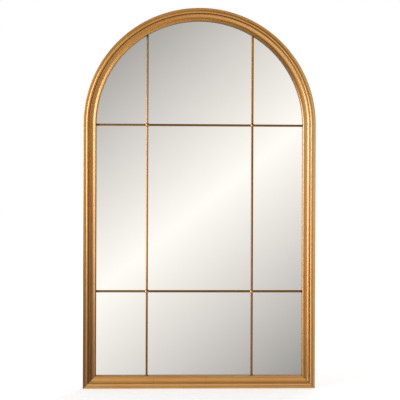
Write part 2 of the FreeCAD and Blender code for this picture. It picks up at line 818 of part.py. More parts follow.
make_arch_head()
for side_name, side_sign in SIDES.items():
    make_stile(side_name, side_sign)
make_bottom_rail()
make_dowels()
for side_name, side_sign in SIDES.items():
    make_mitre_key(side_name, side_sign)
make_arched_sheet("mirror_pane", GLASS_INSET, size.backing_thickness, size.glass_thickness)
make_arched_sheet("backing_panel", BACKING_INSET, ZERO, size.backing_thickness)
make_setting_blocks()
for side_name, side_sign in SIDES.items():
    make_upright_bar(side_name, side_sign)
for level_name, bar_height in (("upper", UPPER_BAR), ("lower", LOWER_BAR)):
    make_level_bar(level_name, bar_height)
    for side_name, side_sign in SIDES.items():
        make_crossing_bead(level_name, side_name, side_sign, bar_height)
make_turn_buttons()
make_hangers()
make_wall_bumpers()
doc.recompute()
check_model()
write_pieces()
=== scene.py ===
import math
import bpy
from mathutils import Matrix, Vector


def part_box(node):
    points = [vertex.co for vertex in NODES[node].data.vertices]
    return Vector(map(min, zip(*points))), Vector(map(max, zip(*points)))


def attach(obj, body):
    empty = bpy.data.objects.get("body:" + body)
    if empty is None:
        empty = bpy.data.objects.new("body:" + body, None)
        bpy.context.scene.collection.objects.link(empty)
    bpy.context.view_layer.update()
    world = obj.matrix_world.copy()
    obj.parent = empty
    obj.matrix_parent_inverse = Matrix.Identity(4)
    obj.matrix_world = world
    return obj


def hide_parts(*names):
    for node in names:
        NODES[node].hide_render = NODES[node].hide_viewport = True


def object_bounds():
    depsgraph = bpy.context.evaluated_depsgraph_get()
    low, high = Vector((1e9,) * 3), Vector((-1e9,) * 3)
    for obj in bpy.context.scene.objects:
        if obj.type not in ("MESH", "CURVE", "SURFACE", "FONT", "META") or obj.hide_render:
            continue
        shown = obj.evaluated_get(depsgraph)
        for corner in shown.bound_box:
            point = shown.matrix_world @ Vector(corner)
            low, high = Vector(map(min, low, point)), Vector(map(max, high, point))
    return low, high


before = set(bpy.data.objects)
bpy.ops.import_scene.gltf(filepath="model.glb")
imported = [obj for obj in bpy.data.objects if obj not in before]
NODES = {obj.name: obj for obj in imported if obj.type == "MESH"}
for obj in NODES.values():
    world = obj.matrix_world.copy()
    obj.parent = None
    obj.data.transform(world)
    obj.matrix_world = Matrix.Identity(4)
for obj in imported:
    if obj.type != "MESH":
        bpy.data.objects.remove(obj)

from types import SimpleNamespace

import bpy
import numpy as np
from bpy.props import FloatProperty, FloatVectorProperty, PointerProperty
from mathutils import Matrix, Vector

bl_info = {
    "name": "Arched Mirror",
    "version": (1, 0, 0),
    "blender": (4, 5, 0),
    "location": "3D View > Sidebar > Arched Mirror",
    "description": "Dresses an arched wall mirror in gold leaf, silvered glass and fittings",
    "category": "Object",
}

MILLIMETRE = 0.001
CAD_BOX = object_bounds()
SIZE = CAD_BOX[1] - CAD_BOX[0]


def middle(node):
    """Centre of a CAD node's box."""
    low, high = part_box(node)
    return (low + high) / 2


UPRIGHT_BAR = middle("vertical_bar_right")
JOINT_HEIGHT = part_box("left_stile")[1].z
BACK_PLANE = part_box("backing_panel")[1].y

# Settings


def distance(name, description, metres):
    """A size or place of the mirror, in metres."""
    return FloatProperty(
        name=name, description=description, default=metres, unit="LENGTH", precision=5
    )


def fine(name, description, millimetres):
    """A small size of the moulding, given in millimetres."""
    return distance(name, description, millimetres * MILLIMETRE)


def tint(name, description, colour):
    """A colour of a finish, in linear light."""
    return FloatVectorProperty(
        name=name, description=description, default=colour, subtype="COLOR", min=0.0, max=1.0
    )


def angle(name, description, degrees):
    """An angle, given in degrees."""
    return FloatProperty(
        name=name, description=description, default=math.radians(degrees), subtype="ANGLE"
    )


def amount(name, description, value, unit="NONE"):
    """A plain number, or one in that unit."""
    return FloatProperty(name=name, description=description, default=value, unit=unit)


class ArchedMirrorMoulding(bpy.types.PropertyGroup):
    """Sizes of the frame and its moulding; heights are measured from the frame's back."""

    overall_width: distance("Overall width", "Width over the frame", SIZE.x)
    overall_height: distance("Overall height", "Height over the arch", SIZE.z)
    joint: distance("Joint", "Height of the joint between stile and arch", JOINT_HEIGHT)
    back: distance("Back plane", "Place of the frame's back along Y", BACK_PLANE)
    bar_offset: distance("Bar offset", "Upright bars' distance from the middle", UPRIGHT_BAR.x)
    bar_place: distance("Bar place", "Place of the bars along Y", UPRIGHT_BAR.y)
    upper_bar: distance("Upper bar", "Height of the upper level bar", middle("upper_bar_middle").z)
    lower_bar: distance("Lower bar", "Height of the lower level bar", middle("lower_bar_middle").z)
    edge_radius: fine("Edge radius", "Rounding of the outer edge", 1.8)
    band_width: fine("Band width", "Flat band next to the outer edge", 8.4)
    band_height: fine("Band height", "Height of the band", 23)
    bead_width: fine("Bead width", "Width of the raised bead", 8)
    bead_rise: fine("Bead rise", "Rise of the bead over the band", 3)
    quirk_width: fine("Quirk width", "Width of the narrow groove", 2.8)
    quirk_depth: fine("Quirk depth", "Depth of the groove below the band", 1.6)
    land_width: fine("Land width", "Narrow flat before the cove", 1.4)
    land_height: fine("Land height", "Height of that flat", 24.6)
    cove_width: fine("Cove width", "Width of the hollow", 13.9)
    cove_depth: fine("Cove depth", "Depth of the hollow below its chord", 4)
    lip_width: fine("Lip width", "Width of the rounded lip", 5.5)
    lip_height: fine("Lip height", "Height where the lip meets the cove", 22.4)
    lip_crown: fine("Lip crown", "Rise of the lip over its chord", 1.9)
    sight_height: fine("Sight height", "Height of the sight edge", 20.2)
    rabbet_width: fine("Rabbet width", "Width of the step that holds the glass", 10)
    rabbet_depth: fine("Rabbet depth", "Depth of that step", 9)
    arris_softness: fine("Arris softness", "How far the gesso rounds the sharp edges", 0.28)
    crossing_width: fine("Crossing bead width", "Width and height of the crossing beads", 12.4)


class ArchedMirrorFinish(bpy.types.PropertyGroup):
    """Colours of the finishes."""

    gold: tint("Gold", "Sound gold leaf", (0.85, 0.318, 0.008))
    # painted_light_gold: the leaf's colour where painted light makes it paler
    painted_light_gold: tint("Pale gold", "Leaf where it is least toned", (1.0, 0.55, 0.15))
    olive: tint("Olive gold", "Streaks of paler, greener leaf", (0.87, 0.455, 0.05))
    ground: tint("Ground", "Red-brown ground under rubbed leaf", (0.43, 0.148, 0.02))
    patina: tint("Patina", "Dark wash in the hollows", (0.165, 0.058, 0.004))
    # The bars share one gold finish: painted light on the left upright, painted shade on the other
    # bars
    lit_bar_gold: tint("Rod gold", "Gold on the left upright bar", (0.66, 0.36, 0.09))
    shaded_bar_gold: tint("Dark gold", "Darker gold on the other bars", (0.34, 0.145, 0.012))
    bead_gold: tint("Bead gold", "Polished gold on the beads", (0.88, 0.42, 0.07))
    silver: tint("Silver", "Silvering behind the glass", (0.955, 0.955, 0.95))
    glass_edge: tint("Glass edge", "Green of the cut edge of the glass", (0.16, 0.32, 0.25))
    back_paint: tint("Back paint", "Paint over the silvering", (0.23, 0.22, 0.21))
    board: tint("Board", "Hardboard of the backing", (0.27, 0.165, 0.09))
    fibre: tint("Fibre", "Paler fibres of the hardboard", (0.46, 0.31, 0.185))
    bare_wood: tint("Bare wood", "Raw wood of the frame's back", (0.56, 0.37, 0.20))
    grain: tint("Grain", "Darker grain of the raw wood", (0.36, 0.205, 0.10))
    zinc: tint("Zinc", "Plating of the fittings", (0.64, 0.645, 0.65))
    zinc_dull: tint("Dull zinc", "Duller crystals of the plating", (0.46, 0.465, 0.46))
    rubber: tint("Rubber", "Pads and setting blocks", (0.022, 0.022, 0.023))
    dust: tint("Dust", "Pale dust on the back", (0.45, 0.42, 0.37))


class ArchedMirrorStage(bpy.types.PropertyGroup):
    """Camera, lights and surroundings."""

    lens: amount("Lens", "Focal length in millimetres", 116.42, "CAMERA")
    eye: FloatVectorProperty(
        name="Eye",
        description="Place of the camera",
        default=(-0.1707, -4.0, 0.6025),
        subtype="XYZ",
        unit="LENGTH",
    )
    yaw: angle("Yaw", "Turn of the view to the right", 2.459)
    pitch: angle("Pitch", "Upward tilt of the view", -0.291)
    roll: angle("Roll", "Turn of the picture", 0.197)
    key_power: amount("Key light", "Power of the soft light at the left", 40.0, "POWER")
    fill_power: amount("Fill light", "Power of the soft light at the right", 6.0, "POWER")
    back_power: amount("Back light", "Power of the soft light behind", 30.0, "POWER")
    ambient: amount("Ambient", "Even light from all round", 0.52)
    studio_grey: amount("Studio grey", "Brightness of the walls that the metal mirrors", 0.40)
    light_angle: angle("Light angle", "Turn to the left of the light that the metal mirrors", 68.0)
    light_height: distance("Light height", "Height of that light's middle", 1.7)
    light_level: amount("Light level", "Brightness of that light over the walls", 4.0)
    studio_radius: distance("Studio radius", "Distance of the walls that the metal mirrors", 6.0)
    glow_angle: angle("Glow angle", "Rise of the bright diagonal that the glass mirrors", 39.0)
    glow_height: distance("Glow height", "Height where it crosses the middle of the glass", 0.557)
    glow_reach: distance("Glow reach", "Distance on the glass over which it fades to black", 0.81)
    floor: tint("Floor", "Pale floor", (0.86, 0.86, 0.85))


class ArchedMirrorSettings(bpy.types.PropertyGroup):
    """All settings of the mirror."""

    moulding: PointerProperty(type=ArchedMirrorMoulding)
    finish: PointerProperty(type=ArchedMirrorFinish)
    stage: PointerProperty(type=ArchedMirrorStage)


# Node trees


class Graph:
    """A node tree that is written from left to right, one call for each step."""

    def __init__(self, tree):
        self.tree = tree

    def feed(self, socket, value):
        """Link a socket to another one, or give it a plain value."""
        if isinstance(value, bpy.types.NodeSocket):
            self.tree.links.new(value, socket)
        elif socket.type == "RGBA":
            socket.default_value = (*value, 1.0)
        else:
            socket.default_value = value

    def node(self, kind, inputs=None, **options):
        """Add a node, set its options, then feed its inputs."""
        made = self.tree.nodes.new(kind)
        for name, value in options.items():
            setattr(made, name, value)
        for name, value in (inputs or {}).items():
            self.feed(made.inputs[name], value)
        return made

    def math(self, operation, first, second=0.0):
        """One step of arithmetic."""
        return self.node("ShaderNodeMath", {0: first, 1: second}, operation=operation).outputs[0]

    def times(self, first, second):
        """The product of two values."""
        return self.math("MULTIPLY", first, second)

    def gap(self, value, spot=0.0):
        """The distance of a value from a spot."""
        return self.math("ABSOLUTE", self.math("SUBTRACT", value, spot))

    def total(self, base, *terms):
        """A base value plus each term's value times its weight."""
        for value, weight in terms:
            base = self.math("ADD", base, self.times(value, weight))
        return base

    def blend(self, share, first, second):
        """The first colour where share is 0, the second where it is 1."""
        inputs = {0: share, 6: first, 7: second}
        return self.node("ShaderNodeMix", inputs, data_type="RGBA").outputs[2]

    def span(self, value, low, high, start=0.0, stop=1.0):
        """Carry a value from one range to another with soft ends."""
        inputs = {"Value": value, "From Min": low, "From Max": high}
        inputs |= {"To Min": start, "To Max": stop}
        return self.node("ShaderNodeMapRange", inputs, interpolation_type="SMOOTHSTEP").outputs[0]

    def noise(self, vector, scale=1.0, detail=3.0, roughness=0.55):
        """Cloudy noise between 0 and 1."""
        inputs = {"Vector": vector, "Scale": scale, "Detail": detail, "Roughness": roughness}
        return self.node("ShaderNodeTexNoise", inputs).outputs["Fac"]

    def point(self, x, y, z=0.0):
        """A vector from its coordinates."""
        return self.node("ShaderNodeCombineXYZ", {"X": x, "Y": y, "Z": z}).outputs[0]

    def reach(self, x, y):
        """The length of a flat vector."""
        made = self.node("ShaderNodeVectorMath", {0: self.point(x, y)}, operation="LENGTH")
        return made.outputs["Value"]

    def apart(self, vector):
        """The coordinates of a vector."""
        return self.node("ShaderNodeSeparateXYZ", {0: vector}).outputs

    def trait(self, name):
        """A value that the mesh carries at its points."""
        return self.node("ShaderNodeAttribute", attribute_name=name).outputs["Fac"]

    def place(self):
        """The place of a point on the object, in metres."""
        return self.node("ShaderNodeTexCoord").outputs["Object"]

    def stretched(self, vector, scale):
        """A vector scaled along each axis."""
        return self.node("ShaderNodeMapping", {"Vector": vector, "Scale": scale}).outputs[0]

    def bump(self, height, depth):
        """A surface normal from a height between 0 and 1 and the depth of the relief."""
        inputs = {"Height": height, "Distance": depth, "Strength": 1.0}
        return self.node("ShaderNodeBump", inputs).outputs[0]

    def use(self, tree, **inputs):
        """Place a shared effect with its own values, and return its outputs."""
        return self.node("ShaderNodeGroup", inputs, node_tree=tree).outputs

    def finish(self, **inputs):
        """End a material in a Principled BSDF. Underscores in the names stand for spaces."""
        named = {name.replace("_", " "): value for name, value in inputs.items()}
        shader = self.node("ShaderNodeBsdfPrincipled", named)
        self.node("ShaderNodeOutputMaterial", {"Surface": shader.outputs[0]})


def new_material(name):
    """An empty material and the graph of its nodes."""
    material = bpy.data.materials.new(name)
    material.use_nodes = True
    material.node_tree.nodes.clear()
    return material, Graph(material.node_tree)


def new_effect(name, **inputs):
    """An empty shared effect with inputs of these kinds: the graph of its nodes and its inputs."""
    tree = bpy.data.node_groups.new(name, "ShaderNodeTree")
    for socket, kind in inputs.items():
        tree.interface.new_socket(socket, in_out="INPUT", socket_type=f"NodeSocket{kind}")
    graph = Graph(tree)
    return graph, graph.node("NodeGroupInput").outputs


def end_effect(graph, **outputs):
    """Give a shared effect its outputs: Color is a colour, and the others are numbers."""
    for socket in outputs:
        kind = "NodeSocketColor" if socket == "Color" else "NodeSocketFloat"
        graph.tree.interface.new_socket(socket, in_out="OUTPUT", socket_type=kind)
    graph.node("NodeGroupOutput", outputs)
    return graph.tree


# Streaks in the gold leaf: how many in a metre along and across the piece, and their detail
BRUSHED = (7.0, 820.0, 2.0)
HAIRLINES = (5.0, 2600.0, 1.0)
CLOUDS = (13.0, 60.0, 3.0)
BANDS = (2.2, 310.0, 2.0)
FLECKS = (40.0, 900.0, 2.0)
LEAF_LENGTH = 81 * MILLIMETRE


def gilding_effect():
    """Gold leaf over a red-brown ground: brushed streaks along the piece, bands of paler leaf, laps
    between the leaves, ground showing on rubbed arrises, and a dark wash in hollows and pits. The
    wash is partly patina and partly painted shade, which comes in through Hollow."""
    numbers = dict.fromkeys(("Along", "Across", "Hollow", "Arris"), "Float")
    colours = dict.fromkeys(("Gold", "Olive", "Ground", "Patina"), "Color")
    graph, given = new_effect("gilding", **numbers, **colours)
    flat = graph.point(given["Along"], given["Across"])

    def streaks(per_metre_along, per_metre_across, detail):
        scale = (per_metre_along, per_metre_across, 1.0)
        return graph.noise(graph.stretched(flat, scale), detail=detail)

    brushed, hairlines, flecks = streaks(*BRUSHED), streaks(*HAIRLINES), streaks(*FLECKS)
    clouds, bands = streaks(*CLOUDS), streaks(*BANDS)
    leaf = graph.math("FRACT", graph.total(0.0, (given["Along"], 1 / LEAF_LENGTH), (clouds, 0.06)))
    lap = graph.span(graph.gap(leaf, 0.5), 0.486, 0.5)
    paler = graph.total(0.0, (clouds, 0.35), (bands, 0.65))
    colour = graph.blend(graph.span(paler, 0.40, 0.60), given["Gold"], given["Olive"])
    colour = graph.blend(graph.times(lap, 0.35), colour, given["Ground"])
    rubbed = graph.total(0.0, (given["Arris"], 0.62), (brushed, 0.55), (flecks, 0.12))
    rubbed = graph.span(rubbed, 0.6, 0.94, 0.0, 0.7)
    colour = graph.blend(rubbed, colour, given["Ground"])
    dark = graph.total(-0.32, (given["Hollow"], 1.45), (brushed, 0.42), (hairlines, 0.25))
    dark = graph.span(dark, 0.0, 0.95, 0.0, 0.92)
    colour = graph.blend(dark, colour, given["Patina"])
    pits = graph.span(flecks, 0.68, 0.76, 0.0, 0.3)
    return end_effect(
        graph,
        Color=graph.blend(pits, colour, given["Patina"]),
        Roughness=graph.total(0.25, (clouds, 0.16), (dark, 0.25), (rubbed, 0.12)),
        Metal=graph.total(0.48, (dark, -0.2), (rubbed, -0.15)),
        Varnish=graph.total(0.98, (dark, -0.8), (rubbed, -0.3), (brushed, -0.15)),
        Height=graph.total(0.2, (brushed, 0.5), (hairlines, 0.3), (lap, -0.1), (pits, -0.05)),
    )


def grain_effect():
    """Long grain of wood: wavering dark lines and fine pores along the first axis of the vector."""
    graph, given = new_effect("wood_grain", Vector="Vector", Wood="Color", Grain="Color")
    lines = graph.noise(graph.stretched(given["Vector"], (5.0, 240.0, 240.0)), detail=4.0)
    pores = graph.noise(graph.stretched(given["Vector"], (70.0, 1500.0, 1500.0)), detail=2.0)
    dark_lines, dark_pores = graph.span(lines, 0.38, 0.68), graph.span(pores, 0.55, 0.75)
    shade = graph.total(0.0, (dark_lines, 0.75), (dark_pores, 0.45))
    return end_effect(
        graph,
        Color=graph.blend(shade, given["Wood"], given["Grain"]),
        Height=graph.total(1.0, (pores, -0.6), (lines, -0.3)),
    )


def grime_effect():
    """Dust in soft clouds and short scuffs, as masks between 0 and 1."""
    graph, given = new_effect("grime", Vector="Vector")
    clouds = graph.noise(given["Vector"], 34.0, 4.0, 0.62)
    specks = graph.noise(given["Vector"], 900.0, 2.0)
    scuffs = graph.noise(graph.stretched(given["Vector"], (90.0, 90.0, 900.0)), detail=2.0)
    dust = graph.total(-0.55, (clouds, 1.0), (specks, 0.45))
    return end_effect(
        graph, Dust=graph.span(dust, 0.05, 0.5), Scuffs=graph.span(scuffs, 0.62, 0.72)
    )


EFFECTS = {"gilding": gilding_effect, "wood_grain": grain_effect, "grime": grime_effect}


def shared_effects():
    """The effects that several materials share, made when they are first asked for."""
    groups = bpy.data.node_groups
    made = {name: groups.get(name) or make() for name, make in EFFECTS.items()}
    return SimpleNamespace(**made)


# Painted shadow in the sockets of the bars, dark wash on the mitre seams, and the share of the
# painted light and shade
SOCKET_SHADOW, SEAM_WASH, PAINTED_SHADING_SHARE = 0.9, 0.6, 0.36
# How much less metal shows where painted light makes the leaf paler
PAINTED_LIGHT_METAL = -0.16
# Polish of bars and beads: share of the leaf's roughness, metal added to it, share of its varnish
# and index of refraction of the varnish
BAR_POLISH = SimpleNamespace(roughness=0.72, metal=0.2, varnish=0.25, ior=1.5)
BEAD_POLISH = SimpleNamespace(roughness=0.45, metal=0.5, varnish=1.0, ior=2.1)


def gilt_frame_material(effects, finish):
    """Antique gold leaf on the face of the moulding, raw wood on its back and in its rabbet.
    Painted shade darkens the leaf where the painted shading trait is above 0, and painted light
    makes it paler where that trait is below 0.
    """
    material, graph = new_material("antique_gold_leaf")
    along, across = graph.trait("along"), graph.trait("across")
    flat = graph.point(along, across)
    toned = graph.trait("toned")
    hollow = graph.total(
        graph.trait("hollow"),
        (graph.trait("socket"), SOCKET_SHADOW),
        (graph.trait("seam"), SEAM_WASH),
        (toned, PAINTED_SHADING_SHARE),
    )
    # Painted light: where the painted shading trait is below 0, the leaf is blended towards a paler
    # gold
    pale = graph.times(toned, -1.0)
    gilt = graph.use(
        effects.gilding,
        Along=along,
        Across=across,
        Hollow=hollow,
        Arris=graph.trait("arris"),
        Gold=graph.blend(pale, finish.gold, finish.painted_light_gold),
        Olive=graph.blend(pale, finish.olive, finish.painted_light_gold),
        Ground=finish.ground,
        Patina=finish.patina,
    )
    wood = graph.use(effects.wood_grain, Vector=flat, Wood=finish.bare_wood, Grain=finish.grain)
    ragged = graph.noise(graph.stretched(flat, (90.0, 300.0, 1.0)))
    bare = graph.span(graph.total(-0.2, (graph.trait("bare"), 1.0), (ragged, 0.4)), 0.42, 0.58)
    gilded = graph.math("SUBTRACT", 1.0, bare)
    metal = graph.total(gilt["Metal"], (graph.span(pale, 0.0, 1.0), PAINTED_LIGHT_METAL))
    graph.finish(
        Base_Color=graph.blend(bare, gilt["Color"], wood["Color"]),
        Roughness=graph.total(gilt["Roughness"], (bare, 0.3)),
        Metallic=graph.times(metal, gilded),
        Coat_Weight=graph.times(gilt["Varnish"], gilded),
        Coat_Roughness=0.17,
        Coat_IOR=2.25,
        Normal=graph.bump(gilt["Height"], 0.012 * MILLIMETRE),
    )
    return material


def gilt_bar_material(name, effects, finish, gold, lengthwise, shadowed=(), polish=BAR_POLISH):
    """Gold on a bar or bead. Streaks run lengthwise, 0 for X and 2 for Z, and the wash is dark near
    each shadowed place along it, given with the depth and reach of the shadow."""
    material, graph = new_material(name)
    place = graph.apart(graph.place())
    along = place[lengthwise]
    hollow = 0.05
    for spot, depth, reach in shadowed:
        distance_off = graph.gap(graph.gap(along), spot)
        shadow = graph.span(distance_off, reach, 0.3 * reach, 0.0, depth)
        hollow = graph.math("ADD", shadow, hollow)
    gilt = graph.use(
        effects.gilding,
        Along=along,
        Across=graph.math("ADD", place[2 - lengthwise], place[1]),
        Hollow=hollow,
        Arris=0.0,
        Gold=gold,
        Olive=gold * 0.85,
        Ground=finish.ground,
        Patina=finish.patina,
    )
    graph.finish(
        Base_Color=gilt["Color"],
        Roughness=graph.times(gilt["Roughness"], polish.roughness),
        Metallic=graph.math("ADD", gilt["Metal"], polish.metal),
        Coat_Weight=graph.times(gilt["Varnish"], polish.varnish),
        Coat_Roughness=0.12,
        Coat_IOR=polish.ior,
        Normal=graph.bump(gilt["Height"], 0.01 * MILLIMETRE),
    )
    return material


def mirror_material(finish, front, back):
    """Silvered glass: bright at its front face, green at the cut edge, grey paint at its back."""
    material, graph = new_material("silvered_glass")
    place = graph.place()
    depth = graph.apart(place)[1]
    skin, margin = 0.04 * (back - front), 0.1 * (back - front)
    edge = graph.span(depth, front + skin, front + margin)
    paint = graph.span(depth, back - margin, back - skin)
    haze = graph.noise(place, 7.0, 2.0)
    silver = graph.blend(graph.times(haze, 0.03), finish.silver, finish.glass_edge)
    colour = graph.blend(paint, graph.blend(edge, silver, finish.glass_edge), finish.back_paint)
    roughness = graph.total(0.0, (edge, 0.3), (paint, 0.3))
    graph.finish(Base_Color=colour, Roughness=roughness, Metallic=1.0)
    return material


def board_material(effects, finish):
    """Hardboard: matted fibres and the mesh mark of its rough side."""
    material, graph = new_material("hardboard")
    place = graph.place()
    grime = graph.use(effects.grime, Vector=place)
    fibres = graph.noise(graph.stretched(place, (260.0, 260.0, 700.0)), detail=4.0, roughness=0.65)
    broad = graph.noise(place, 9.0, 3.0)
    shade = graph.total(-0.35, (graph.span(fibres, 0.35, 0.75), 0.75), (broad, 0.7))
    colour = graph.blend(shade, finish.board, finish.fibre)
    colour = graph.blend(graph.times(grime["Dust"], 0.22), colour, finish.dust)
    waves = [
        graph.node("ShaderNodeTexWave", {"Vector": place, "Scale": 180.0}, bands_direction=axis)
        for axis in "XZ"
    ]
    mesh_mark = graph.times(*(wave.outputs["Fac"] for wave in waves))
    graph.finish(
        Base_Color=colour,
        Roughness=graph.total(0.66, (fibres, 0.2)),
        Normal=graph.bump(graph.total(0.0, (mesh_mark, 0.5), (fibres, 0.5)), 0.4 * MILLIMETRE),
    )
    return material


def beech_material(effects, finish):
    """Plain beech for the pins and keys inside the joints."""
    material, graph = new_material("beech")
    x, y, z = graph.apart(graph.place())
    upright = graph.point(z, x, y)
    wood = graph.use(effects.wood_grain, Vector=upright, Wood=finish.bare_wood, Grain=finish.grain)
    relief = graph.bump(wood["Height"], 0.2 * MILLIMETRE)
    graph.finish(Base_Color=wood["Color"], Roughness=0.6, Normal=relief)
    return material


def zinc_material(effects, finish):
    """Zinc-plated steel: small dull crystals, wiping marks and a little dust."""
    material, graph = new_material("zinc_plate")
    place = graph.place()
    grime = graph.use(effects.grime, Vector=place)
    cells = graph.node("ShaderNodeTexVoronoi", {"Vector": place, "Scale": 420.0})
    crystal = graph.apart(cells.outputs["Color"])[0]
    stains = graph.noise(place, 150.0, 3.0)
    dull = graph.total(-0.2, (crystal, 0.5), (stains, 0.6))
    colour = graph.blend(dull, finish.zinc, finish.zinc_dull)
    colour = graph.blend(graph.times(grime["Dust"], 0.18), colour, finish.dust)
    graph.finish(
        Base_Color=colour,
        Roughness=graph.total(0.24, (crystal, 0.1), (stains, 0.14), (grime["Dust"], 0.2)),
        Metallic=graph.total(1.0, (grime["Dust"], -0.3)),
        Normal=graph.bump(
            graph.total(0.0, (crystal, 0.3), (grime["Scuffs"], -0.6)), 0.05 * MILLIMETRE
        ),
    )
    return material


def rubber_material(effects, finish):
    """Black rubber with a bloom of dust."""
    material, graph = new_material("rubber")
    place = graph.place()
    grime = graph.use(effects.grime, Vector=place)
    skin = graph.noise(place, 1400.0, 2.0)
    graph.finish(
        Base_Color=graph.blend(graph.times(grime["Dust"], 0.2), finish.rubber, finish.dust),
        Roughness=graph.total(0.62, (skin, 0.2)),
        Normal=graph.bump(skin, 0.08 * MILLIMETRE),
    )
    return material


def paint_nodes(material, *names):
    """Give CAD nodes a material in place of the plain one."""
    for name in names:
        NODES[name].data.materials.clear()
        NODES[name].data.materials.append(material)


# Surfaces of the frame

FINE_STEP = 0.1 * MILLIMETRE
SECTION_POINTS = 112
TURN_WEIGHT = 6 * MILLIMETRE
STATION_STEP = 9 * MILLIMETRE
STATIONS_AT_MARK = 15
SOCKET_REACH = 7 * MILLIMETRE
SEAM_WIDTH = 0.7 * MILLIMETRE
# Hollows, creases and arrises: the reach they are measured over, and the depth or turn when full.
# The dark wash in hollows and creases is partly patina and partly painted shade.
HOLLOW_REACH, HOLLOW_DEPTH = 1.5 * MILLIMETRE, 1.3 * MILLIMETRE
CREASE_REACH, CREASE_TURN = 0.9 * MILLIMETRE, 0.15
ARRIS_REACH, ARRIS_TURN = 0.25 * MILLIMETRE, 0.14
# Painted shade at the sight edge: its strength, and the distances where it starts and is full
SIGHT_EDGE_SHADE, SIGHT_START, SIGHT_FULL = 0.25, 2.1 * MILLIMETRE, 0.7 * MILLIMETRE
# Heights over the back where the gold thins out and ends
GOLD_THINS, GOLD_ENDS = 4.2 * MILLIMETRE, 1.6 * MILLIMETRE
# Parts of the section with painted light or shade of their own: millimetres from the outer edge,
# and reach
EDGE, BAND, BEAD_FLANK, COVE_TOP = (0, 2.5), (4, 5), (10.8, 2), (24.5, 4)
# The arch's inner slope: distances from the sight edge where it starts and is full
SLOPE_START, SLOPE_FULL = 10 * MILLIMETRE, 6 * MILLIMETRE
# The arch's shoulders: angle round from its left end, and reach
LEFT_SHOULDER, RIGHT_SHOULDER = (0.7, 0.5), (2.35, 0.75)
# Painted shade (above 0) and painted light (below 0) on the leaf: all round, on the arch and on the
# stiles
EDGE_SHADE = 0.5
LEFT_BAND, RIGHT_SLOPES, RIGHT_COVE = 0.6, 1.2, -0.7
STILE_BAND, LEFT_FOOT, RIGHT_FOOT, RIGHT_TOP = 0.5, 1.4, 1.7, -1.0
# Painted shade and light on the rail's lip, bead and cove, each with its place and reach like those
# parts
RAIL_SHADING = ((0.4, 36, 3), (-0.8, 13, 3), (-0.8, 25, 4))
# How much more painted shade darkens the hollows at the top of the arch
ARCH_TOP_SHADE = 0.45
BEAD_TURNS = 48
BEAD_STEPS = 24
BEAD_END = 1.08
RIM_ANGLE = math.radians(35)


def run(start, stop, rise=0.0):
    """Points from start up to stop, as complex numbers. The straight run is the start plus a share
    of the chord. On an arc the start is turned about the arc's centre by up to four times the angle
    whose tangent is the rise over half the chord."""
    chord = stop - start
    half = abs(chord) / 2
    shares = np.arange(0.0, 1.0, FINE_STEP / abs(chord))
    if rise == 0.0:
        return start + chord * shares
    centre = (start + stop) / 2 + 1j * chord / abs(chord) * (rise * rise - half * half) / (2 * rise)
    return centre + (start - centre) * np.exp(-4j * math.atan(rise / half) * shares)


def ramp(values, low, high):
    """0 up to low, rising evenly to 1 at high."""
    return np.clip((values - low) / (high - low), 0.0, 1.0)


def bell(values, peak, reach):
    """1 at the peak, falling along a bell curve to about a third at that reach."""
    return np.exp(-(((values - peak) / reach) ** 2))


def softened(values, reach):
    """Values round the closed section, averaged with a bell curve of that reach."""
    waves = np.fft.fftfreq(values.size, FINE_STEP)
    return np.fft.ifft(np.fft.fft(values) * np.exp(-2 * (math.pi * waves * reach) ** 2))


def moulding_section(sizes):
    """The moulding's closed section: inset from the outer edge, height over the back, distance
    round it, and how hollow or sharp it is there; the hollow share carries painted shade at the
    sight edge. Straight runs and arcs are joined, their corners softened, and points picked with
    short steps where the section turns."""
    bead_end = sizes.band_width + sizes.bead_width
    land = bead_end + sizes.quirk_width
    cove = land + sizes.land_width
    lip = cove + sizes.cove_width
    face = lip + sizes.lip_width
    rabbet = face - sizes.rabbet_width
    quirk_floor = sizes.band_height - sizes.quirk_depth
    corners = [
        (0, 0, 0),
        (0, sizes.band_height - sizes.edge_radius, sizes.edge_radius * (1 - math.sqrt(0.5))),
        (sizes.edge_radius, sizes.band_height, 0),
        (sizes.band_width, sizes.band_height, sizes.bead_rise),
        (bead_end, sizes.band_height, 0),
        (bead_end, quirk_floor, 0),
        (land, quirk_floor, 0),
        (land, sizes.land_height, 0),
        (cove, sizes.land_height, -sizes.cove_depth),
        (lip, sizes.lip_height, sizes.lip_crown),
        (face, sizes.sight_height, 0),
        (face, sizes.rabbet_depth, 0),
        (rabbet, sizes.rabbet_depth, 0),
        (rabbet, 0, 0),
    ]
    spots = [complex(inset, height) for inset, height, _ in corners]
    rises = [rise for _, _, rise in corners]
    runs = list(map(run, spots, spots[1:] + spots[:1], rises))
    outline = softened(np.concatenate(runs), sizes.arris_softness)
    steps = np.roll(outline, -1) - outline
    turns = np.angle(steps / np.roll(steps, 1))
    distances = np.cumsum(np.abs(steps))
    measure = np.cumsum(np.abs(steps) + TURN_WEIGHT * np.abs(turns))
    picked = np.searchsorted(measure / measure[-1], np.arange(SECTION_POINTS) / SECTION_POINTS)
    sunken = softened(outline.imag, HOLLOW_REACH).real - outline.imag
    sharp = softened(-turns, ARRIS_REACH).real
    crease = softened(turns, CREASE_REACH).real / CREASE_TURN
    sight_edge = ramp(outline.real, face - SIGHT_START, face - SIGHT_FULL)
    # Hollow share: patina and painted shade in hollows and creases, and painted shade at the sight
    # edge
    hollow = np.maximum(ramp(sunken, 0.0, HOLLOW_DEPTH), crease) + SIGHT_EDGE_SHADE * sight_edge
    return SimpleNamespace(
        inset=outline.real[picked],
        height=outline.imag[picked],
        across=distances[picked],
        hollow=np.clip(hollow, 0.0, 1.0)[picked],
        arris=ramp(sharp, 0.0, ARRIS_TURN)[picked],
        face=face,
        rabbet=rabbet,
    )


